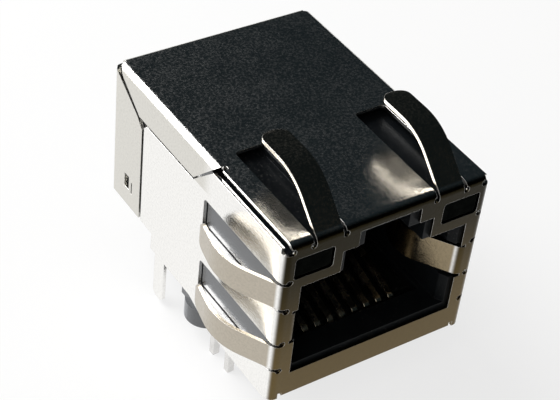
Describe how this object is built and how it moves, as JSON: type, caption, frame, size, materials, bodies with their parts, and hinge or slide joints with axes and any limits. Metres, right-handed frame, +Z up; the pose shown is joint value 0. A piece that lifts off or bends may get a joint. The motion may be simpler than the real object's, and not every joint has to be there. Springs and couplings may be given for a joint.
{
  "type": "shielded modular jack",
  "caption": "Shielded board-mounted modular jack with spring ground fingers, light windows over the port and signal transformers in the rear.",
  "frame": {"origin": "on the board's surface, midway between the two locating pegs", "axes": "+Z up from the board, the port faces -Y, +Y runs back to the rear panel and is the longest extent, +X is to the right seen from the port"},
  "size_m": [0.0194, 0.0218, 0.0195],
  "materials": {
    "shield_metal": "nickel-plated copper alloy sheet with a fine rolled grain",
    "housing_plastic": "black glass-filled moulding, satin",
    "insert_plastic": "black glass-filled moulding, satin",
    "contact_gold": "gold-plated bronze wire, bright",
    "board_laminate": "green circuit board laminate",
    "ferrite": "fired ferrite, dark grey and matt",
    "winding_copper": "enamelled copper wire, glossy",
    "resistor_body": "black coated ceramic chip",
    "capacitor_body": "bare tan ceramic chip",
    "tinned_pin": "tin-plated wire, satin",
    "light_resin": "clouded epoxy, dark when unlit"
  },
  "bodies": {
    "root": {"shield": "shield_metal", "housing": "housing_plastic", "contact_insert": "insert_plastic", "contact_1": "contact_gold", "contact_2": "contact_gold", "contact_3": "contact_gold", "contact_4": "contact_gold", "contact_5": "contact_gold", "contact_6": "contact_gold", "contact_7": "contact_gold", "contact_8": "contact_gold", "inner_board": "board_laminate", "magnetics_case": "insert_plastic", "transformer_core_1": "ferrite", "transformer_core_2": "ferrite", "transformer_winding_1": "winding_copper", "transformer_winding_2": "winding_copper", "choke_core_1": "ferrite", "choke_core_2": "ferrite", "choke_winding_1": "winding_copper", "choke_winding_2": "winding_copper", "resistor_1": "resistor_body", "resistor_2": "resistor_body", "resistor_3": "resistor_body", "resistor_4": "resistor_body", "shield_capacitor": "capacitor_body", "signal_pin_1": "tinned_pin", "signal_pin_2": "tinned_pin", "signal_pin_3": "tinned_pin", "signal_pin_4": "tinned_pin", "signal_pin_5": "tinned_pin", "signal_pin_6": "tinned_pin", "signal_pin_7": "tinned_pin", "signal_pin_8": "tinned_pin", "left_light": "light_resin", "right_light": "light_resin", "left_light_lead_front": "tinned_pin", "left_light_lead_rear": "tinned_pin", "right_light_lead_front": "tinned_pin", "right_light_lead_rear": "tinned_pin"}
  },
  "joints": []
}
